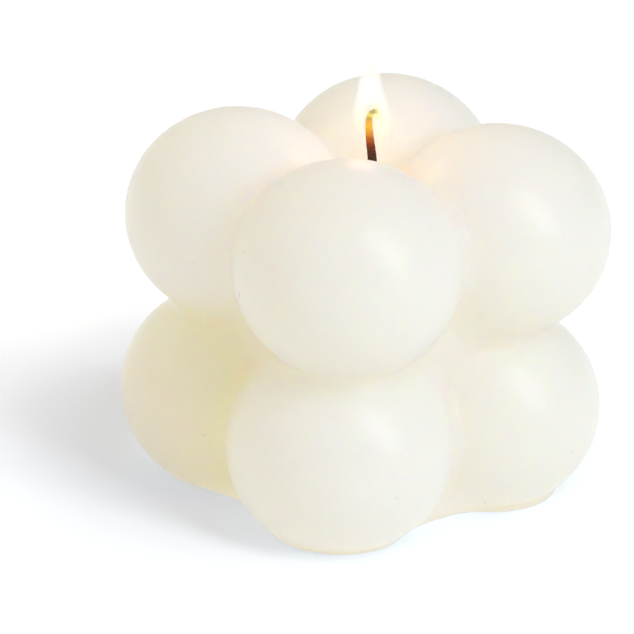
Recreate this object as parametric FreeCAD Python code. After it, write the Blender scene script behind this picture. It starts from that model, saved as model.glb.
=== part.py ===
import FreeCAD, Part

import math
import os

# Bubble cube candle: eight wax balls cast as one block, two by two by two, round one wick.
# Millimetres, +Z up. The origin is the middle of the flat base, on the surface it stands on.

Vec = FreeCAD.Vector

# The balls are flatter than they are wide, by this much from the middle to the top.
BALL_RADIUS = 23.0
BALL_FLATTENING = 1.4

# How far neighbouring balls run into each other along each axis.
OVERLAP_X = 10.1
OVERLAP_Y = 7.3
OVERLAP_Z = 5.1

# The base is a flat pour face that takes this much off the bottom of the lower balls.
BASE_CUT = 3.9

# The filled core shows as a flat web in the middle of each side. A web lies this much
# further in than the smallest circle where two balls meet, so its edges stay in the balls.
WEB_INSET = 1.54
CORE_EDGE_INSET = 2.5

# Rounding of every groove where balls and webs meet.
GROOVE_ROUNDING = 2.0

# Step of the pour lip outside the foot of each lower ball. The wax ran further out under
# the two balls on the +Y side than under the others.
FRONT_LIP_STEP = 0.62
LEFT_LIP_STEP = 0.22
RIGHT_LIP_STEP = 1.82
BACK_LIP_STEP = 1.32

# The wick is a flat braid. Its wide side faces the front corner, between +X and -Y, and it
# leans and curls in the upright plane along this direction, measured from +X.
WICK_PLANE_DEG = 51.0
WICK_WIDTH = 1.9
WICK_THICKNESS = 1.4
WICK_OFFSET = 0.45

# The burnt end above the wax: height above the wax, sideways position, turn of the
# centre line from upright in degrees, and share of the full section that is left.
BURNT_END = [
    (2.2, 0.46, 0.0, 0.99),
    (4.9, 0.32, -7.0, 0.96),
    (7.6, -0.08, -9.0, 0.92),
    (10.2, -0.46, -7.0, 0.84),
    (12.4, -0.66, -2.0, 0.74),
    (13.8, -0.60, 14.0, 0.64),
    (14.7, -0.22, 50.0, 0.56),
    (15.0, 0.34, 82.0, 0.48),
    (14.9, 0.95, 102.0, 0.36),
]

BALL_HALF_HEIGHT = BALL_RADIUS - BALL_FLATTENING
PITCH_X = 2 * BALL_RADIUS - OVERLAP_X
PITCH_Y = 2 * BALL_RADIUS - OVERLAP_Y
PITCH_Z = 2 * BALL_HALF_HEIGHT - OVERLAP_Z
LOWER_CENTRE_Z = BALL_HALF_HEIGHT - BASE_CUT
UPPER_CENTRE_Z = LOWER_CENTRE_Z + PITCH_Z


def circle_at(share):
    """Radius of the circle on a ball, this share of the way from its middle to its end."""
    return BALL_RADIUS * math.sqrt(1 - share ** 2)


MEETING_SHARES = (PITCH_X / 2 / BALL_RADIUS, PITCH_Y / 2 / BALL_RADIUS, PITCH_Z / 2 / BALL_HALF_HEIGHT)
WEB_STANDOFF = circle_at(max(MEETING_SHARES)) - WEB_INSET
TOP_WEB_Z = UPPER_CENTRE_Z + WEB_STANDOFF * BALL_HALF_HEIGHT / BALL_RADIUS
FOOT_RADIUS = circle_at(LOWER_CENTRE_Z / BALL_HALF_HEIGHT)

# The lower balls by the signs of their x and y, with the step of the lip under each.
CORNERS = {
    (1, -1): FRONT_LIP_STEP,
    (-1, -1): LEFT_LIP_STEP,
    (1, 1): RIGHT_LIP_STEP,
    (-1, 1): BACK_LIP_STEP,
}

# Cutting tools start this far under the base. The lips run this far into the balls.
BELOW_BASE = 5.0
LIP_BITE = 0.02


def ball(x, y, z):
    """One flattened ball, an upright half ellipse turned about its vertical axis."""
    oval = Part.Ellipse(Vec(0, 0, 0), BALL_RADIUS, BALL_HALF_HEIGHT)
    half = Part.ArcOfEllipse(oval, -math.pi / 2, math.pi / 2).toShape()
    top, bottom = Vec(0, BALL_HALF_HEIGHT, 0), Vec(0, -BALL_HALF_HEIGHT, 0)
    profile = Part.Face(Part.Wire([half, Part.LineSegment(top, bottom).toShape()]))
    profile.rotate(Vec(0, 0, 0), Vec(1, 0, 0), 90)
    # The seam of the turned surface faces the middle of the candle, inside the wax.
    profile.rotate(Vec(0, 0, 0), Vec(0, 0, 1), math.degrees(math.atan2(-y, -x)))
    solid = profile.revolve(Vec(0, 0, 0), Vec(0, 0, 1), 360)
    solid.translate(Vec(x, y, z))
    return solid


def slab(length_x, length_y, top):
    """A block centred on the axis, from below the base to the given height."""
    corner = Vec(-length_x / 2, -length_y / 2, -BELOW_BASE)
    return Part.makeBox(length_x, length_y, top + BELOW_BASE, corner)


def core():
    """Three crossed blocks, one for each pair of webs."""
    narrow_x = PITCH_X - 2 * CORE_EDGE_INSET
    narrow_y = PITCH_Y - 2 * CORE_EDGE_INSET
    side_top = UPPER_CENTRE_Z - CORE_EDGE_INSET
    x_webs = slab(PITCH_X + 2 * WEB_STANDOFF, narrow_y, side_top)
    y_webs = slab(narrow_x, PITCH_Y + 2 * WEB_STANDOFF, side_top)
    top_web = slab(narrow_x, narrow_y, TOP_WEB_Z)
    return x_webs.fuse([y_webs, top_web])


def groove_edges(shape):
    """The edges between two faces that reach above the base, so no seam within one face."""
    edges = []
    for edge in shape.Edges:
        faces = shape.ancestorsOfType(edge, Part.Face)
        if edge.BoundBox.ZMax > 0 and len(faces) == 2:
            edges.append(edge)
    return edges


def pour_lip(sx, sy):
    """A low upright step under one ball, up to where the ball itself is as wide."""
    radius = FOOT_RADIUS + CORNERS[(sx, sy)]
    rise = LOWER_CENTRE_Z - BALL_HALF_HEIGHT * math.sqrt(1 - (radius / BALL_RADIUS) ** 2)
    centre = Vec(sx * PITCH_X / 2, sy * PITCH_Y / 2, 0)
    return Part.makeCylinder(radius, rise + LIP_BITE, centre)


def wick_frame(height, sideways, turn_deg):
    """Placement of a wick section: x across its width, z along the wick."""
    plane = math.radians(WICK_PLANE_DEG)
    turn = math.radians(turn_deg)
    side = Vec(math.cos(plane), math.sin(plane), 0)
    up = Vec(0, 0, 1)
    along = side * math.sin(turn) + up * math.cos(turn)
    across = side * math.cos(turn) - up * math.sin(turn)
    turned = FreeCAD.Rotation(across, along.cross(across), along, "ZXY")
    return FreeCAD.Placement(side * sideways + up * height, turned)


def wick_section(height, sideways, turn_deg, share):
    """Oval wire of the wick at one height."""
    oval = Part.Ellipse(Vec(0, 0, 0), share * WICK_WIDTH / 2, share * WICK_THICKNESS / 2)
    wire = Part.Wire(oval.toShape())
    wire.Placement = wick_frame(height, sideways, turn_deg)
    return wire


def wick_in_wax(bottom):
    """The straight length of wick that the wax was cast round."""
    face = Part.Face(wick_section(bottom, WICK_OFFSET, 0, 1))
    return face.extrude(Vec(0, 0, TOP_WEB_Z - bottom))


def wick():
    """The whole wick, cut off flush with the base."""
    sections = [wick_section(TOP_WEB_Z, WICK_OFFSET, 0, 1)]
    for height, sideways, turn_deg, share in BURNT_END:
        sections.append(wick_section(TOP_WEB_Z + height, sideways, turn_deg, share))
    burnt_end = Part.makeLoft(sections, True, False)
    return wick_in_wax(0).fuse(burnt_end).removeSplitter().Solids[0]


def wax_body():
    """The cast block of wax with its grooves, webs, flat base, pour lips and wick hole."""
    body = core()
    for sx, sy in CORNERS:
        for z in (LOWER_CENTRE_Z, UPPER_CENTRE_Z):
            body = body.fuse(ball(sx * PITCH_X / 2, sy * PITCH_Y / 2, z))
    body = body.removeSplitter().Solids[0]
    body = body.makeFillet(GROOVE_ROUNDING, groove_edges(body))
    half = 2 * (PITCH_X + BALL_RADIUS)
    below = Part.makeBox(2 * half, 2 * half, half, Vec(-half, -half, -half))
    body = body.cut(below)
    body = body.fuse([pour_lip(sx, sy) for sx, sy in CORNERS]).removeSplitter()
    return body.cut(wick_in_wax(-BELOW_BASE)).Solids[0]


def main():
    os.makedirs("parts", exist_ok=True)
    for name, shape in (("wax_body", wax_body()), ("wick", wick())):
        size = shape.optimalBoundingBox(True, False)
        print(name, shape.isValid(), len(shape.Faces), "faces", round(shape.Volume, 1), "mm3")
        print(" ", [round(v, 2) for v in (size.XMin, size.YMin, size.ZMin)], "to",
              [round(v, 2) for v in (size.XMax, size.YMax, size.ZMax)])
        shape.exportStep(os.path.join("parts", name + ".step"))


main()
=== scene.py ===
import math

import bpy
import numpy as np
from mathutils import Matrix


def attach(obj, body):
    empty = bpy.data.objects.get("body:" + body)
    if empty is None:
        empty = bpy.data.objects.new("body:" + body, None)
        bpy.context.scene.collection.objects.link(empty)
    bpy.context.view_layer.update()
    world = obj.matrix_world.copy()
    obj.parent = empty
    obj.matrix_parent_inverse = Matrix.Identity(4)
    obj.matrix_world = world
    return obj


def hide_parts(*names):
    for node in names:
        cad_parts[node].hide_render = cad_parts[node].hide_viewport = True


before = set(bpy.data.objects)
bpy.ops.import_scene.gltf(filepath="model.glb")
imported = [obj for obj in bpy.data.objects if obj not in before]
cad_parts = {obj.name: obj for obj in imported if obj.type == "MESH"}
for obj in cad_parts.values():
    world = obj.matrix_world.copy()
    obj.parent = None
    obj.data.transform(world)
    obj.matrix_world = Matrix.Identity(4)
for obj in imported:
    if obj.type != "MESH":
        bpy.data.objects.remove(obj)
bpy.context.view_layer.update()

# Bubble cube candle as photographed: the cast wax, the burnt wick and the flame, on a pale floor.
# Lengths are in metres, in the part's own frame.
MM = 0.001

# The cast block, the same values as in the part's source.
BALL_RADIUS = 23.0 * MM
BALL_HALF_HEIGHT = 21.6 * MM
PITCH_X = 35.9 * MM
PITCH_Y = 38.7 * MM
PITCH_Z = 38.1 * MM
LOWER_CENTRE_Z = 17.7 * MM
WEB_STANDOFF = 9.3 * MM
CORE_EDGE_INSET = 2.5 * MM
LIP_RADIUS = {(1, -1): 13.8 * MM, (-1, -1): 13.4 * MM, (1, 1): 15.0 * MM, (-1, 1): 14.5 * MM}
# The lips' cylinders end inside the balls, at this height.
LIP_TOP = 10.62 * MM
UPPER_CENTRE_Z = LOWER_CENTRE_Z + PITCH_Z
MIDDLE_Z = LOWER_CENTRE_Z + PITCH_Z / 2
TOP_WEB_Z = UPPER_CENTRE_Z + WEB_STANDOFF * BALL_HALF_HEIGHT / BALL_RADIUS
# How far the wax has drawn into the grooves. At 3.6 mm it follows the 2 mm rounding of the solid.
GROOVE_BLEND = 3.6 * MM
# The distance over which the painted light in the grooves, a paler wax, fades out.
GROOVE_FADE = 4.2 * MM
# The grid of the wax surface: round it, down its side and in across its base.
WAX_COLUMNS, WAX_SIDE_ROWS, WAX_BASE_ROWS = 336, 276, 14
# Rays from the block's middle leave the wax between these two lengths. The rim of the base is
# looked for this little above it.
RAY_LOW, RAY_HIGH = 12 * MM, 90 * MM
RIM_HEIGHT = 1e-7

# The wick leans and curls in the upright plane along this direction, measured from +X.
WICK_PLANE = math.radians(51.0)
WICK_WIDTH = 1.9 * MM
WICK_THICKNESS = 1.4 * MM
WICK_OFFSET = 0.45
# The length after which the braid's pattern repeats. Its strands rise and dip by the last of these
# shares of the section about the one before it.
BRAID_PITCH = 1.5 * MM
BRAID_CORE, STRAND_RISE = 0.96, 0.06
# Points on the centre line of the straight length and of the burnt end.
STRAIGHT_STEPS, BURNT_STEPS = 40, 120
# Height above the wax, sideways position, turn from upright and share of the section left.
BURNT_END = [
    (0.0, 0.45, 0.0, 1.00),
    (2.2, 0.46, 0.0, 0.99),
    (4.9, 0.32, -7.0, 0.96),
    (7.6, -0.08, -9.0, 0.92),
    (10.2, -0.46, -7.0, 0.84),
    (12.4, -0.66, -2.0, 0.74),
    (13.8, -0.60, 14.0, 0.64),
    (14.7, -0.22, 50.0, 0.56),
    (15.0, 0.34, 82.0, 0.48),
    (14.9, 0.95, 102.0, 0.36),
]
SIDE = np.array([math.cos(WICK_PLANE), math.sin(WICK_PLANE), 0.0])
ACROSS = np.array([-math.sin(WICK_PLANE), math.cos(WICK_PLANE), 0.0])
UP = np.array([0.0, 0.0, 1.0])


# ---- mesh and node helpers

def grid_faces(rows, columns, around=True):
    """Four-cornered faces of a grid of points, row by row, closed round the columns if asked."""
    across = columns if around else columns - 1
    row, column = np.meshgrid(np.arange(rows - 1), np.arange(across), indexing="ij")
    following = (column + 1) % columns
    corners = np.stack([row * columns + column, row * columns + following,
                        (row + 1) * columns + following, (row + 1) * columns + column], -1)
    return corners.reshape(-1, 4)


def piece(name, points, faces, material, smooth_below=None):
    """A mesh object at the origin from an array of points and lists of faces. Its edges are smooth,
    but for those that turn by more than smooth_below degrees, where it is given."""
    mesh = bpy.data.meshes.new(name)
    mesh.from_pydata(np.asarray(points, float).tolist(), [], [list(map(int, f)) for f in faces])
    mesh.validate()
    mesh.polygons.foreach_set("use_smooth", np.ones(len(mesh.polygons), bool))
    if smooth_below is not None:
        mesh.set_sharp_from_angle(angle=math.radians(smooth_below))
    mesh.update()
    mesh.materials.append(material)
    thing = bpy.data.objects.new(name, mesh)
    bpy.context.scene.collection.objects.link(thing)
    return thing


def point_value(thing, name, values):
    """Stores one number for each point of a mesh, which its material reads."""
    layer = thing.data.attributes.new(name, "FLOAT", "POINT")
    layer.data.foreach_set("value", np.asarray(values, np.float32))


class Nodes:
    """Short words for the nodes of one material or world."""

    def __init__(self, owner):
        owner.use_nodes = True
        self.tree = owner.node_tree
        self.tree.nodes.clear()

    def add(self, kind, **settings):
        """A new node of one kind, with its settings."""
        node = self.tree.nodes.new("ShaderNode" + kind)
        for key, value in settings.items():
            setattr(node, key, value)
        return node

    def join(self, source, target):
        self.tree.links.new(source, target)

    def put(self, socket, value):
        """Gives an input a number or a colour, or joins it to another node's output."""
        if isinstance(value, bpy.types.NodeSocket):
            self.join(value, socket)
        elif value is not None:
            socket.default_value = value

    def fill(self, node, values):
        """Gives several inputs of one node their values, by the inputs' names."""
        for name, value in values.items():
            self.put(node.inputs[name], value)
        return node

    def maths(self, operation, a, b, clamp=False):
        """The sum, product or larger of two values."""
        node = self.add("Math", operation=operation, use_clamp=clamp)
        self.put(node.inputs[0], a)
        self.put(node.inputs[1], b)
        return node.outputs[0]

    def span(self, value, low, high, to_low=0.0, to_high=1.0, smooth=False):
        """A value carried from one range to another, and held at the ends."""
        node = self.add("MapRange", interpolation_type="SMOOTHSTEP" if smooth else "LINEAR")
        for socket, number in zip(node.inputs, (value, low, high, to_low, to_high)):
            self.put(socket, number)
        return node.outputs[0]

    def blend(self, share, a, b):
        """Colour a, with this share of colour b."""
        node = self.add("Mix", data_type="RGBA")
        self.put(node.inputs[0], share)
        self.put(node.inputs[6], a)
        self.put(node.inputs[7], b)
        return node.outputs[2]

    def noise(self, where, scale, detail, rough):
        """Soft noise with this many cells to the metre."""
        node = self.add("TexNoise")
        self.fill(node, {"Vector": where, "Scale": scale, "Detail": detail, "Roughness": rough})
        return node.outputs["Fac"]

    def ramp(self, value, stops):
        """A colour read off a list of places from 0 to 1 and their colours."""
        node = self.add("ValToRGB")
        self.join(value, node.inputs[0])
        bar = node.color_ramp.elements
        while len(bar) < len(stops):
            bar.new(0.5)
        for element, (at, colour) in zip(bar, stops):
            element.position = at
            element.color = (*colour, 1.0)
        return node.outputs[0]

    def value_of(self, name):
        """A number that the mesh holds for each point."""
        return self.add("Attribute", attribute_name=name).outputs["Fac"]

    def bump(self, height, strength, distance):
        """The direction of a surface that stands up by height."""
        node = self.add("Bump")
        self.fill(node, {"Strength": strength, "Distance": distance, "Height": height})
        return node.outputs[0]

    def openness(self, samples, distance, facing=None):
        """How much of what lies within a distance is open, above a point or in one direction."""
        node = self.add("AmbientOcclusion", samples=samples)
        self.fill(node, {"Distance": distance, "Normal": facing})
        return node.outputs["AO"]

    def finish(self, shader, kind="OutputMaterial"):
        """Joins the last shader to the output."""
        self.join(shader, self.add(kind).inputs[0])

    def distance(self, where, point):
        """How far a place is from one point."""
        node = self.add("VectorMath", operation="DISTANCE")
        self.join(where, node.inputs[0])
        node.inputs[1].default_value = point
        return node.outputs["Value"]


# ---- the wax

def ball_gap(p, centre):
    """Distance from points to one flattened ball: the scaled radius less one, turned back to a
    length by the slope of that radius. Negative inside."""
    half = np.array([BALL_RADIUS, BALL_RADIUS, BALL_HALF_HEIGHT])
    q = (p - centre) / half
    radius = np.linalg.norm(q, axis=-1)
    slope = np.linalg.norm(q / half, axis=-1)
    return radius * (radius - 1) / np.maximum(slope, 1e-9)


def slab_gap(p, half_x, half_y, top):
    """Distance to the inside faces of a block from the floor to top, the largest of its sides'."""
    sides = [np.abs(p[..., 0]) - half_x, np.abs(p[..., 1]) - half_y]
    return np.maximum.reduce([*sides, p[..., 2] - top])


def wax_gaps(p):
    """Distances from points to the eight balls, and to the core of three crossed blocks."""
    gaps = [ball_gap(p, np.array([sx * PITCH_X / 2, sy * PITCH_Y / 2, z]))
            for sx in (-1, 1) for sy in (-1, 1) for z in (LOWER_CENTRE_Z, UPPER_CENTRE_Z)]
    narrow_x, narrow_y = PITCH_X / 2 - CORE_EDGE_INSET, PITCH_Y / 2 - CORE_EDGE_INSET
    side_top = UPPER_CENTRE_Z - CORE_EDGE_INSET
    core = np.minimum.reduce([
        slab_gap(p, PITCH_X / 2 + WEB_STANDOFF, narrow_y, side_top),
        slab_gap(p, narrow_x, PITCH_Y / 2 + WEB_STANDOFF, side_top),
        slab_gap(p, narrow_x, narrow_y, TOP_WEB_Z)])
    return np.stack(gaps + [core])


def wax_gap(p):
    """Distance to the cast block: its parts joined with round grooves, where the lengths by which
    a point is nearer to each part than the blend are squared, summed and rooted. The lips are
    plain upright cylinders, added without a blend."""
    gaps = wax_gaps(p)
    near = np.maximum(GROOVE_BLEND - gaps, 0)
    body = np.maximum(gaps.min(0), GROOVE_BLEND) - np.sqrt((near ** 2).sum(0))
    for (sx, sy), radius in LIP_RADIUS.items():
        out = np.hypot(p[..., 0] - sx * PITCH_X / 2, p[..., 1] - sy * PITCH_Y / 2) - radius
        body = np.minimum(body, np.maximum(out, p[..., 2] - LIP_TOP))
    return body


def surface_along(start, direction, low, high):
    """How far along each ray the wax ends, by halving the span forty times."""
    low = np.full(direction.shape[:-1], low)
    high = np.full(direction.shape[:-1], high)
    for _ in range(40):
        middle = (low + high) / 2
        inside = wax_gap(start + direction * middle[..., None]) < 0
        low, high = np.where(inside, middle, low), np.where(inside, high, middle)
    return (low + high) / 2


def wax_points():
    """The block as one closed surface of two parameters: the way round, and the way down from the
    top. Each side point is where a ray from the block's middle leaves the wax. The rays end at the
    rim of the flat base, and the base rows run from that rim in to the middle. Columns are closer
    together at the upright grooves."""
    share = np.arange(WAX_COLUMNS) / WAX_COLUMNS * 2 * math.pi
    turn = share - 0.11 * np.sin(4 * share)
    round_x, round_y = np.cos(turn), np.sin(turn)
    level = np.stack([round_x, round_y, np.zeros(WAX_COLUMNS)], -1)
    rim = surface_along(np.array([0, 0, RIM_HEIGHT]), level, RAY_LOW, RAY_HIGH)
    rim_angle = np.arctan2(rim, -MIDDLE_Z)
    down = (np.arange(1, WAX_SIDE_ROWS + 1) / WAX_SIDE_ROWS)[:, None] * rim_angle[None, :]
    rays = np.stack([np.sin(down) * round_x, np.sin(down) * round_y, np.cos(down)], -1)
    middle = np.array([0, 0, MIDDLE_Z])
    reach = surface_along(middle, rays, RAY_LOW, RAY_HIGH)
    side = middle + rays * reach[..., None]
    side[-1] = level * rim[:, None]
    inward = np.linspace(1, 0, WAX_BASE_ROWS + 1)[1:-1, None, None]
    base = side[-1][None] * inward
    top = middle + UP * surface_along(middle, UP[None], RAY_LOW, RAY_HIGH)
    return np.concatenate([[top], side.reshape(-1, 3), base.reshape(-1, 3), [[0, 0, 0]]])


def build_wax(material):
    """The wax surface, closed at the top and under the base. Each point knows how near it is to a
    groove, from its distance to the second nearest of the balls and the core; this sets the painted
    light in the grooves."""
    points = wax_points()
    rows = WAX_SIDE_ROWS + WAX_BASE_ROWS - 1
    ring = grid_faces(rows, WAX_COLUMNS)[:, ::-1] + 1
    last = len(points) - 1
    here = np.arange(WAX_COLUMNS)
    following = (here + 1) % WAX_COLUMNS
    top = np.stack([np.zeros(WAX_COLUMNS, int), here + 1, following + 1], -1)
    foot = 1 + (rows - 1) * WAX_COLUMNS
    bottom = np.stack([np.full(WAX_COLUMNS, last), foot + following, foot + here], -1)
    wax = piece("cast_wax", points, [*ring, *top, *bottom], material, smooth_below=40)
    gaps = np.sort(wax_gaps(points), axis=0)
    point_value(wax, "groove", np.exp(-np.maximum(gaps[1], 0) / GROOVE_FADE))
    return wax


# Painted light and shade on the wax round a point: the point, the distances from it over which it
# fades, its share at the point and its colour. They are painted warm flame light round the wick,
# and painted shade on the lower ball that faces away from the lamp, yellow on its inner side and
# dull on its outer side.
PAINTED_GLOW_AND_SHADE = (
    ((0.0, 0.0, TOP_WEB_Z + 6 * MM), 8 * MM, 26 * MM, 0.3, (0.99, 0.90, 0.80, 1)),
    ((-9 * MM, -32 * MM, 20 * MM), 8 * MM, 30 * MM, 0.5, (0.99, 0.87, 0.57, 1)),
    ((-24 * MM, -39 * MM, 11 * MM), 5 * MM, 28 * MM, 0.7, (0.77, 0.755, 0.665, 1)),
)
# Pin holes and nicks seen in the photograph, in millimetres, with their size.
# They are drawn only as brown spots of painted shade, with no dent in the surface.
PIN_HOLES = (
    (11.9, -40.6, 61.9, 0.45), (20.1, -32.5, 38.2, 0.7), (40.3, 23.0, 14.1, 0.4),
    (24.2, -11.2, 75.1, 0.4), (-3.7, -37.3, 16.1, 0.45), (40.6, -22.9, 15.6, 0.4),
    (35.9, -7.7, 48.0, 0.7),
)
CREAM = (0.975, 0.950, 0.805, 1)
PALE_CREAM = (0.985, 0.965, 0.830, 1)
# The grooves' paler wax is painted light, for the light that passes from ball to ball.
GROOVE_PAINTED_LIGHT = (1.0, 0.985, 0.87, 1)
PIT_SHADE_BROWN = (0.74, 0.66, 0.50, 1)
FLECK_TAN = (0.78, 0.72, 0.58, 1)
# How far light goes into the wax, and each colour's share of that.
GLOW_DEPTH = 30 * MM
GLOW_SHARES = (1.0, 0.75, 0.45)
GRAIN_HEIGHT = 0.1 * MM


def pin_holes(n, where):
    """1 in the pin holes and 0 elsewhere, with a soft rim."""
    hole = None
    for x, y, z, size in PIN_HOLES:
        gap = n.distance(where, (x * MM, y * MM, z * MM))
        here = n.span(gap, 0.4 * size * MM, size * MM, 1.0, 0.0)
        hole = here if hole is None else n.maths("MAXIMUM", hole, here)
    return hole


def wax_material():
    """Cream wax with a satin sheen, which lets light deep in. Painted light makes it paler in the
    grooves and warmer round the wick, and painted shade makes the lower ball away from the lamp
    yellower and duller. Fine graining, rare flecks and a few pin holes, drawn as spots of painted
    shade, mark it."""
    made = bpy.data.materials.new("cream_wax")
    n = Nodes(made)
    where = n.add("TexCoord").outputs["Object"]
    cloud = n.noise(where, 38.0, 3.0, 0.55)
    grain = n.noise(where, 900.0, 3.0, 0.6)
    speck = n.noise(where, 2600.0, 2.0, 0.6)
    cream = n.blend(n.span(cloud, 0.35, 0.7), CREAM, PALE_CREAM)
    # Painted light: paler wax near the grooves.
    groove = n.maths("MULTIPLY", n.value_of("groove"), 0.8, clamp=True)
    colour = n.blend(groove, cream, GROOVE_PAINTED_LIGHT)
    # Painted flame light round the wick, and painted shade on the lower ball away from the lamp.
    for point, full, none, share, painted_tone in PAINTED_GLOW_AND_SHADE:
        fade = n.span(n.distance(where, point), full, none, share, 0.0, smooth=True)
        colour = n.blend(fade, colour, painted_tone)
    # The pin holes get brown painted shade in place of a dent.
    marked = n.blend(n.maths("MULTIPLY", pin_holes(n, where), 0.4), colour, PIT_SHADE_BROWN)
    flecked = n.blend(n.span(speck, 0.16, 0.21, 0.3, 0.0), marked, FLECK_TAN)
    sheen = n.span(n.noise(where, 160.0, 2.0, 0.5), 0.2, 0.8, 0.27, 0.33)
    height = n.maths("ADD", n.maths("MULTIPLY", grain, 0.7), n.maths("MULTIPLY", speck, 0.3))
    shade = n.fill(n.add("BsdfPrincipled"), {
        "Base Color": flecked, "Roughness": sheen, "Specular IOR Level": 0.39, "IOR": 1.45,
        "Subsurface Weight": 1.0, "Subsurface Radius": GLOW_SHARES, "Subsurface Scale": GLOW_DEPTH,
        "Normal": n.bump(height, 0.8, GRAIN_HEIGHT)})
    n.finish(shade.outputs[0])
    return made


# ---- the wick

def smooth_through(at, known, values):
    """Cubic curve through the values, each with the slope between its neighbours."""
    slope = np.gradient(values, known)
    left = np.clip(np.searchsorted(known, at, side="right") - 1, 0, len(known) - 2)
    width = known[left + 1] - known[left]
    t = (at - known[left]) / width
    rise = values[left + 1] - values[left]
    leaving, reaching = slope[left] * width - rise, slope[left + 1] * width - rise
    return values[left] + rise * t + t * (1 - t) * ((1 - t) * leaving - t * reaching)


def wick_line(steps):
    """Centre points, directions and section shares along the wick, from the base to the curl. The
    straight part is even, and the burnt end follows its stations by smooth interpolation in the
    running length."""
    table = np.array(BURNT_END)
    height = TOP_WEB_Z + table[:, 0] * MM
    line = np.stack([table[:, 1] * MM, height], -1)
    run = np.concatenate([[0], np.cumsum(np.linalg.norm(np.diff(line, axis=0), axis=1))])
    fine = np.linspace(0, run[-1], BURNT_STEPS)
    burnt = np.stack([smooth_through(fine, run, line[:, k]) for k in range(2)], -1)
    share = np.interp(fine, run, table[:, 3])
    rise = np.linspace(0, TOP_WEB_Z, STRAIGHT_STEPS + 1)[:-1]
    straight = np.stack([np.full(STRAIGHT_STEPS, WICK_OFFSET * MM), rise], -1)
    whole = np.concatenate([straight, burnt])
    shares = np.concatenate([np.ones(STRAIGHT_STEPS), share])
    length = np.concatenate([[0], np.cumsum(np.linalg.norm(np.diff(whole, axis=0), axis=1))])
    even = np.linspace(0, length[-1], steps)
    path = np.stack([np.interp(even, length, whole[:, k]) for k in range(2)], -1)
    return path, np.interp(even, length, shares), even


def wick_points(steps=560, around=36):
    """A flat braid as a surface of two parameters, round it and along it: an oval section carried
    along the wick, raised where strands of two crossing slants come to the top."""
    path, share, run = wick_line(steps)
    slope = np.gradient(path, axis=0)
    slope /= np.linalg.norm(slope, axis=1)[:, None]
    across = SIDE * slope[:, 1:] - UP * slope[:, :1]
    angle = np.arange(around) / around * 2 * math.pi
    turns = 2 * math.pi * run[:, None] / BRAID_PITCH
    one_way = np.sin(2 * angle[None, :] + turns)
    other_way = np.sin(2 * angle[None, :] - turns + 0.6)
    strands = np.maximum(one_way, other_way)
    swell = BRAID_CORE + STRAND_RISE * strands
    width = (WICK_WIDTH / 2 * share)[:, None] * swell * np.cos(angle)
    depth = (WICK_THICKNESS / 2 * share)[:, None] * swell * np.sin(angle)
    centre = SIDE * path[:, :1] + UP * path[:, 1:]
    points = centre[:, None] + across[:, None] * width[..., None] + ACROSS * depth[..., None]
    points[0, :, 2] = 0
    return points, centre, strands, run


def build_wick(material):
    """The braided wick, closed at the cut end and at the tip of the curl."""
    points, centre, strands, run = wick_points()
    rows, around = points.shape[:2]
    burnt = run / MM - TOP_WEB_Z / MM
    tip = centre[-1] + (centre[-1] - centre[-3]) * 0.8
    vertices = np.concatenate([points.reshape(-1, 3), [centre[0] * [1, 1, 0], tip]])
    here = np.arange(around)
    following = (here + 1) % around
    foot, end = rows * around, rows * around + 1
    cut = np.stack([np.full(around, foot), following, here], -1)
    last = (rows - 1) * around
    close = np.stack([np.full(around, end), last + here, last + following], -1)
    faces = [*grid_faces(rows, around), *cut, *close]
    wick = piece("braided_wick", vertices, faces, material)
    point_value(wick, "strand", np.concatenate([strands.reshape(-1), [0, 0]]))
    point_value(wick, "burnt", np.concatenate([np.repeat(burnt, around), [burnt[0], burnt[-1]]]))
    return wick


# Colours by the length along the wick above the wax, in millimetres: of the cotton, burnt from the
# wax up, and of its glow, from the red of the ember to the gold of the curl.
WICK_LENGTH = 17.0
BURNT_COLOURS = (
    (0.0, (0.80, 0.74, 0.60)), (0.68, (0.10, 0.050, 0.030)), (5.1, (0.060, 0.028, 0.018)),
    (7.65, (0.060, 0.018, 0.008)), (15.3, (0.05, 0.02, 0.008)), (17.0, (0.012, 0.008, 0.006)),
)
EMBER_COLOURS = (
    (4.0, (0.0, 0.0, 0.0)), (6.5, (0.04, 0.010, 0.004)), (8.0, (0.17, 0.022, 0.003)),
    (9.3, (0.46, 0.10, 0.006)), (10.6, (0.75, 0.28, 0.010)), (11.9, (0.92, 0.48, 0.020)),
    (13.3, (0.82, 0.40, 0.020)), (13.7, (0.48, 0.24, 0.010)), (14.1, (0.80, 0.62, 0.08)),
    (14.6, (0.85, 0.75, 0.14)), (15.0, (0.42, 0.32, 0.09)), (15.5, (0.38, 0.29, 0.08)),
    (16.0, (0.70, 0.65, 0.15)), (17.0, (0.9, 0.85, 0.3)),
)
# A darker colour for the valleys between the strands.
STRAND_VALLEY_DARK = (0.012, 0.004, 0.003, 1)


def wick_material():
    """Cotton inside the wax, burnt dark brown above it, and a glowing ember further up. The valleys
    between the strands are darker."""
    made = bpy.data.materials.new("burnt_wick")
    n = Nodes(made)
    where = n.add("TexCoord").outputs["Object"]
    strand = n.value_of("strand")
    fibre = n.noise(where, 2400.0, 3.0, 0.6)
    burnt = n.maths("ADD", n.value_of("burnt"), n.span(fibre, 0.3, 0.7, -0.35, 0.35))
    length = n.span(burnt, 0.0, WICK_LENGTH)
    colour = n.ramp(length, [(at / WICK_LENGTH, tone) for at, tone in BURNT_COLOURS])
    ember = n.ramp(length, [(at / WICK_LENGTH, tone) for at, tone in EMBER_COLOURS])
    shade = n.fill(n.add("BsdfPrincipled"), {
        "Base Color": n.blend(n.span(strand, -0.6, 0.5, 0.55, 0.0), colour, STRAND_VALLEY_DARK),
        "Roughness": n.span(fibre, 0.3, 0.7, 0.75, 0.95), "Specular IOR Level": 0.25,
        "Emission Color": ember, "Emission Strength": 1.0,
        "Normal": n.bump(n.maths("ADD", strand, fibre), 0.6, 0.15 * MM)})
    n.finish(shade.outputs[0])
    return made


# ---- the flame

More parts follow.
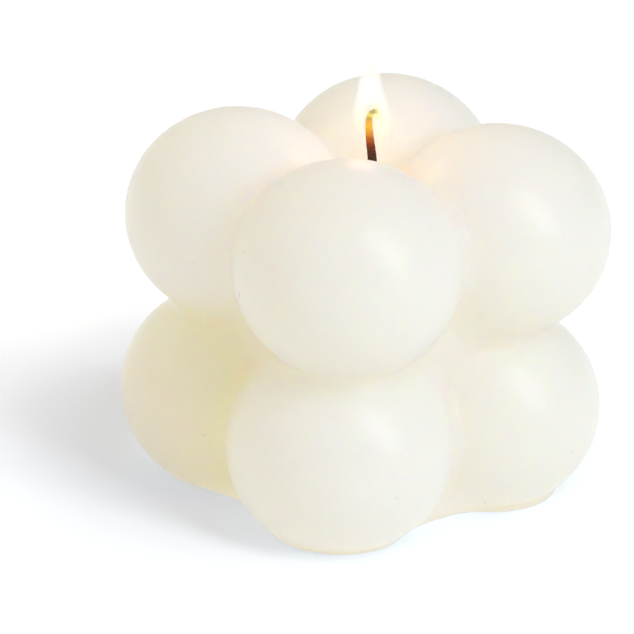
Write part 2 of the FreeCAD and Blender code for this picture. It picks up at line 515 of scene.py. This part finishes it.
# Height above the base, half width and sideways drift of the flame's outer veil, in millimetres.
FLAME = (
    (70.0, 0.6, 1.9), (71.2, 2.3, 1.6), (73.0, 3.4, 1.05), (75.3, 3.9, 0.45), (77.7, 3.95, -0.05),
    (80.0, 3.65, -0.30), (82.8, 3.05, -0.52), (84.6, 2.6, -0.72), (86.3, 2.3, -0.78),
    (87.6, 1.95, -0.76), (88.9, 1.45, -0.66), (90.1, 0.8, -0.55), (90.8, 0.0, -0.50),
)
# The height that the inner veils shrink towards, and the share of the rows that round off a foot.
FLAME_MIDDLE = 79.5
FLAME_FOOT = 0.08
# The wick shows through the veils up to this height and this far to each side, with soft edges.
FLAME_HOLLOW, HOLLOW_EDGE = 81.7, 0.25
WICK_SLOT, SLOT_EDGE = 1.1, 0.14
# Yellow gas reaches this far to each side of the wick, and fades out over the second distance.
YELLOW_REACH, YELLOW_FADE = 0.9, 1.1
# Sideways place and height of the yellow spot at the tip of the wick's curl, and its spread.
CURL_TIP = (0.5, 79.7)
CURL_SPREAD = 0.9
FLAME_VEILS = (("flame", 1.0, 0.6), ("flame_inside", 0.84, 1.0), ("flame_core", 0.62, 1.4))
# The brightest channel of the flame's light, and how much light behind it one veil covers there.
GLOW = 1.2
VEIL_COVER = 0.38
# By height in millimetres: how far a veil covers what is behind it, its colour at its sides, and
# its colour in line with the wick. Then the colour of the yellow spot.
FLAME_LOW, FLAME_HIGH = 70.0, 90.0
VEIL_COVERS = (
    (70.0, (0.0,) * 3), (71.5, (0.04,) * 3), (73.0, (0.10,) * 3), (75.0, (0.30,) * 3),
    (77.0, (0.60,) * 3), (79.0, (0.85,) * 3), (81.0, (1.0,) * 3), (88.0, (1.0,) * 3),
    (90.0, (0.6,) * 3),
)
EDGE_COLOURS = (
    (71.0, (1.20, 1.10, 0.80)), (74.0, (1.12, 1.06, 0.78)), (77.0, (1.08, 1.08, 0.86)),
    (79.0, (1.08, 1.08, 0.92)), (81.5, (1.08, 1.08, 1.02)), (86.5, (1.08, 1.08, 1.05)),
    (88.0, (1.02, 1.03, 0.90)), (90.0, (1.0, 1.01, 0.86)),
)
MIDDLE_COLOURS = (
    (71.0, (1.20, 1.05, 0.75)), (74.0, (1.20, 1.08, 0.70)), (77.0, (1.10, 1.08, 0.76)),
    (80.5, (1.06, 1.05, 0.78)), (82.5, (1.06, 1.06, 0.98)),
)
CURL_GOLD = (1.05, 0.98, 0.20)


def flame_points(size, rows=72, around=80):
    """A drop shape as a surface of two parameters, round it and up it: circles on a line that
    drifts sideways, whose half widths follow a smooth curve. size shrinks it towards its middle,
    in height by less than in width."""
    table = np.array(FLAME)
    share = np.linspace(0, 1, rows)
    eased = 0.5 - 0.5 * np.cos(math.pi * share)
    height = table[0, 0] + (table[-1, 0] - table[0, 0]) * eased
    half = np.maximum(smooth_through(height, table[:, 0], table[:, 1]), 0)
    half *= np.sqrt(1 - (1 - np.clip(share / FLAME_FOOT, 0, 1)) ** 2)
    drift = smooth_through(height, table[:, 0], table[:, 2])
    height = FLAME_MIDDLE + (height - FLAME_MIDDLE) * (0.3 + 0.7 * size)
    angle = np.arange(around) / around * 2 * math.pi
    centre = SIDE * drift[:, None] * MM + UP * height[:, None] * MM
    rings = centre[:, None] + (half * size * MM)[:, None, None] * (
        SIDE * np.cos(angle)[:, None] + ACROSS * np.sin(angle)[:, None])
    return rings[1:-1], centre[0], centre[-1]


def build_flame(material, name, size):
    """One closed veil of the flame. In line with the wick it is thin, so that the wick shows
    through it from the front and the back, and beside the wick it is yellower than at its edges. At
    the tip of the wick's curl it has a yellow spot."""
    rings, low, high = flame_points(size)
    rows, around = rings.shape[:2]
    vertices = np.concatenate([rings.reshape(-1, 3), [low, high]])
    here = np.arange(around)
    following = (here + 1) % around
    bottom = np.stack([np.full(around, rows * around), following, here], -1)
    last = (rows - 1) * around
    top = np.stack([np.full(around, rows * around + 1), last + here, last + following], -1)
    veil = piece(name, vertices, [*grid_faces(rows, around), *bottom, *top], material)
    table = np.array(BURNT_END)
    height = vertices[:, 2] / MM
    sideways = vertices @ SIDE / MM
    wick_place = np.interp(height, TOP_WEB_Z / MM + table[:-2, 0], table[:-2, 1])
    beside = np.abs(sideways - wick_place)
    below = 1 / (1 + np.exp((height - FLAME_HOLLOW) / HOLLOW_EDGE))
    slot = 1 / (1 + np.exp((beside - WICK_SLOT) / SLOT_EDGE))
    curl = np.exp(-((sideways - CURL_TIP[0]) ** 2 + (height - CURL_TIP[1]) ** 2) / CURL_SPREAD)
    point_value(veil, "veil", np.maximum(1 - 0.95 * slot * below, 0.4 * curl))
    yellow = np.exp(-np.maximum(beside - YELLOW_REACH, 0) / YELLOW_FADE)
    point_value(veil, "yellow", below * yellow)
    point_value(veil, "curl", curl)
    return veil


def flame_material(name, weight):
    """Glowing gas: clear at its foot, denser and whiter upwards. A few such veils, one in the
    other, add their light as a body of gas does, so its edge is soft. weight is this veil's
    density."""
    made = bpy.data.materials.new(name)
    n = Nodes(made)
    split = n.fill(n.add("SeparateXYZ"), {"Vector": n.add("TexCoord").outputs["Object"]})
    height = n.span(split.outputs["Z"], FLAME_LOW * MM, FLAME_HIGH * MM)

    def by_height(table, brightest=GLOW):
        """A ramp over the flame's height, with its tones as shares of the brightest one."""
        reach = FLAME_HIGH - FLAME_LOW
        return n.ramp(height, [
            ((at - FLAME_LOW) / reach, tuple(tone / brightest for tone in tones))
            for at, tones in table])

    colour = n.blend(n.value_of("yellow"), by_height(EDGE_COLOURS), by_height(MIDDLE_COLOURS))
    gold = (*(tone / GLOW for tone in CURL_GOLD), 1)
    glow = n.fill(n.add("Emission"), {
        "Color": n.blend(n.value_of("curl"), colour, gold), "Strength": GLOW})
    cover = n.maths("MULTIPLY", by_height(VEIL_COVERS, brightest=1), n.value_of("veil"))
    mix = n.add("MixShader")
    n.join(n.maths("MULTIPLY", cover, VEIL_COVER * weight), mix.inputs[0])
    n.join(n.add("BsdfTransparent").outputs[0], mix.inputs[1])
    n.join(glow.outputs[0], mix.inputs[2])
    n.finish(mix.outputs[0])
    return made


# ---- floor, lights and camera

# The camera stands on the side of the front corner. BACK points to it from the candle, RIGHT and
# HIGH are the picture's own directions, and FRONT is BACK laid level.
VIEW_AZIMUTH = math.radians(51.07)
VIEW_ELEVATION = math.radians(22.328)
RIGHT = np.array([math.cos(VIEW_AZIMUTH), math.sin(VIEW_AZIMUTH), 0.0])
FRONT = np.array([RIGHT[1], -RIGHT[0], 0.0])
BACK = FRONT * math.cos(VIEW_ELEVATION) + UP * math.sin(VIEW_ELEVATION)
HIGH = np.cross(BACK, RIGHT)
LENS, FILM_WIDTH = 250.92, 36.0
CAMERA_ROLL = math.radians(2.396)
# The camera's place from the middle of the block, in ball radii along BACK, RIGHT and HIGH.
CAMERA_PLACE = (39.242, -0.411, -0.091)

# The soft lamp is a long oval to the right of the camera and above it, which slants down to the
# right.
KEY_DIRECTION = 0.617 * RIGHT + 0.376 * HIGH + 0.691 * BACK
KEY_DISTANCE = 3.0
KEY_ALONG = 0.665 * RIGHT - 0.747 * HIGH
KEY_LENGTH, KEY_WIDTH = 3.2, 0.9
KEY_POWER = 39.4
KEY_COLOUR = (0.87, 0.93, 1.0)
FLAME_POWER = 0.0031
FLAME_COLOUR = (1.0, 0.51, 0.37)
FLAME_SIZE = 4 * MM
FLAME_PLACE = UP * 84.0 * MM - SIDE * 0.5 * MM
# The sky's red, green and blue: its mean, and how it grows to the right, upwards and to the front.
# It is warmer and brighter on the side away from the lamp, as from a reflector.
SKY = (
    (0.525, -0.259, 0.198, -0.116),
    (0.551, -0.234, 0.083, -0.109),
    (0.519, -0.156, 0.123, -0.010),
)

FLOOR_REACH = 3.0
FLOOR_DROP = 0.05 * MM
# The floor's own colour, as the wax sees it and as the camera sees it.
FLOOR_GREY = (0.96, 0.96, 0.96, 1)
FLOOR_WHITE = (0.86, 0.93, 1.0, 1)
# Light that the floor sends up into the wax: everywhere, and close round its foot, where light
# comes through the wax.
FLOOR_BOUNCE = (0.041, 0.047, 0.020, 1)
FOOT_GLOW = (0.32, 0.29, 0.235, 1)
FOOT_REACH = 6 * MM
# What the camera sees added to the floor, by how open it is: close beside the candle, and further
# out, where openness is measured towards the lamp. Between the last two values of that openness
# the second takes over from the first.
BESIDE_REACH = 30 * MM
BESIDE_WHITE = (
    (0.25, (0.130, 0.145, 0.235)), (0.45, (0.120, 0.130, 0.180)), (0.60, (0.110, 0.110, 0.125)),
    (0.70, (0.080, 0.080, 0.085)), (0.80, (0.055, 0.055, 0.065)), (1.0, (0.050, 0.050, 0.055)),
)
SHADE_REACH = 60 * MM
SHADE_WHITE = (
    (0.60, (0.115, 0.108, 0.108)), (0.66, (0.135, 0.127, 0.125)), (0.70, (0.155, 0.146, 0.143)),
    (0.75, (0.185, 0.178, 0.171)), (0.80, (0.221, 0.217, 0.210)), (0.85, (0.258, 0.254, 0.240)),
    (0.90, (0.285, 0.278, 0.257)), (1.0, (0.350, 0.338, 0.302)),
)
SHADE_TAKES_OVER = (0.60, 0.72)


def floor_material():
    """A plain pale floor. The camera sees it nearly white, with a soft shade on the side away from
    the lamp, where the candle hides part of the sky round the lamp. What the wax gets from it is
    plain bounced light, with a glow close round its foot."""
    made = bpy.data.materials.new("studio_floor")
    n = Nodes(made)
    ray = n.add("LightPath")
    mirrored = n.maths("MAXIMUM", ray.outputs["Is Glossy Ray"], ray.outputs["Is Transmission Ray"])
    seen = n.maths("MAXIMUM", ray.outputs["Is Camera Ray"], mirrored)
    towards_lamp = n.fill(n.add("CombineXYZ"), dict(zip("XYZ", map(float, KEY_DIRECTION))))
    lit = n.openness(12, SHADE_REACH, towards_lamp.outputs[0])
    close = n.ramp(n.openness(6, BESIDE_REACH), BESIDE_WHITE)
    white = n.blend(n.span(lit, *SHADE_TAKES_OVER, smooth=True), close, n.ramp(lit, SHADE_WHITE))
    through = n.blend(n.openness(4, FOOT_REACH), FOOT_GLOW, FLOOR_BOUNCE)
    plain = n.fill(n.add("BsdfDiffuse"), {"Color": n.blend(seen, FLOOR_GREY, FLOOR_WHITE)})
    lift = n.fill(n.add("Emission"), {"Color": n.blend(seen, through, white), "Strength": 1.0})
    both = n.add("AddShader")
    n.join(plain.outputs[0], both.inputs[0])
    n.join(lift.outputs[0], both.inputs[1])
    n.finish(both.outputs[0])
    return made


def studio_floor():
    """A level square under the candle, a hair below its base."""
    across = np.linspace(-FLOOR_REACH, FLOOR_REACH, 3)
    x, y = np.meshgrid(across, across)
    points = np.stack([x, y, np.full_like(x, -FLOOR_DROP)], -1).reshape(-1, 3)
    floor = piece("studio_floor", points, grid_faces(3, 3, around=False), floor_material())


def studio_sky():
    """An even sky with a gentle slope of brightness in each colour. The camera sees it as white."""
    world = bpy.data.worlds.new("studio")
    bpy.context.scene.world = world
    w = Nodes(world)
    path = w.add("LightPath")
    watched = w.maths("MAXIMUM", path.outputs["Is Camera Ray"],
                      path.outputs["Is Transmission Ray"])
    where = w.add("TexCoord").outputs["Generated"]
    colour = w.add("CombineColor")
    for (mean, right, high, front), channel in zip(SKY, colour.inputs):
        slope = w.add("VectorMath", operation="DOT_PRODUCT")
        w.join(where, slope.inputs[0])
        slope.inputs[1].default_value = right * RIGHT + high * UP + front * FRONT
        w.join(w.maths("MAXIMUM", w.maths("ADD", slope.outputs["Value"], mean), 0.0), channel)
    soft, white, mix = w.add("Background"), w.add("Background"), w.add("MixShader")
    w.join(colour.outputs[0], soft.inputs[0])
    white.inputs[1].default_value = 1.0
    w.join(watched, mix.inputs[0])
    w.join(soft.outputs[0], mix.inputs[1])
    w.join(white.outputs[0], mix.inputs[2])
    w.finish(mix.outputs[0], "OutputWorld")


def stand(thing, x_axis, z_axis, place):
    """Puts a lamp or camera at a place, looking against its z axis, upright by its x axis."""
    z_axis = np.asarray(z_axis) / np.linalg.norm(z_axis)
    x_axis = x_axis - z_axis * (x_axis @ z_axis)
    x_axis = x_axis / np.linalg.norm(x_axis)
    y_axis = np.cross(z_axis, x_axis)
    turned = Matrix.Identity(4)
    for row in range(3):
        turned[row][0], turned[row][1], turned[row][2] = x_axis[row], y_axis[row], z_axis[row]
        turned[row][3] = place[row]
    bpy.context.scene.collection.objects.link(thing)
    thing.matrix_world = turned


def lights():
    """One long soft lamp from the upper right in front, and the small warm light of the flame."""
    key = bpy.data.lights.new("soft_key", "AREA")
    key.shape = "ELLIPSE"
    key.size, key.size_y = KEY_LENGTH, KEY_WIDTH
    key.energy, key.color = KEY_POWER, KEY_COLOUR
    place = UP * MIDDLE_Z + KEY_DISTANCE * KEY_DIRECTION
    stand(bpy.data.objects.new("soft_key", key), KEY_ALONG, KEY_DIRECTION, place)
    flame = bpy.data.lights.new("flame_light", "POINT")
    flame.shadow_soft_size = FLAME_SIZE
    flame.energy, flame.color = FLAME_POWER, FLAME_COLOUR
    stand(bpy.data.objects.new("flame_light", flame), RIGHT, UP, FLAME_PLACE)


def camera():
    """A long lens on the front corner, turned a little about its own axis as the photograph is."""
    data = bpy.data.cameras.new("camera")
    data.lens, data.sensor_width = LENS, FILM_WIDTH
    data.clip_start, data.clip_end = 0.05, 20.0
    thing = bpy.data.objects.new("camera", data)
    back, right, high = CAMERA_PLACE
    place = UP * MIDDLE_Z + BALL_RADIUS * (back * BACK + right * RIGHT + high * HIGH)
    stand(thing, math.cos(CAMERA_ROLL) * RIGHT + math.sin(CAMERA_ROLL) * HIGH, BACK, place)
    bpy.context.scene.camera = thing


def main():
    scene = bpy.context.scene
    scene.view_settings.view_transform = "Standard"
    camera()
    studio_floor()
    studio_sky()
    lights()

    wax = build_wax(wax_material())
    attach(wax, "root")
    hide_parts("wax_body")

    wick = build_wick(wick_material())
    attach(wick, "root")
    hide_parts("wick")

    for name, size, weight in FLAME_VEILS:
        part = build_flame(flame_material(name + "_gas", weight), name, size)
        part.visible_shadow = False
        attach(part, "root")


main()
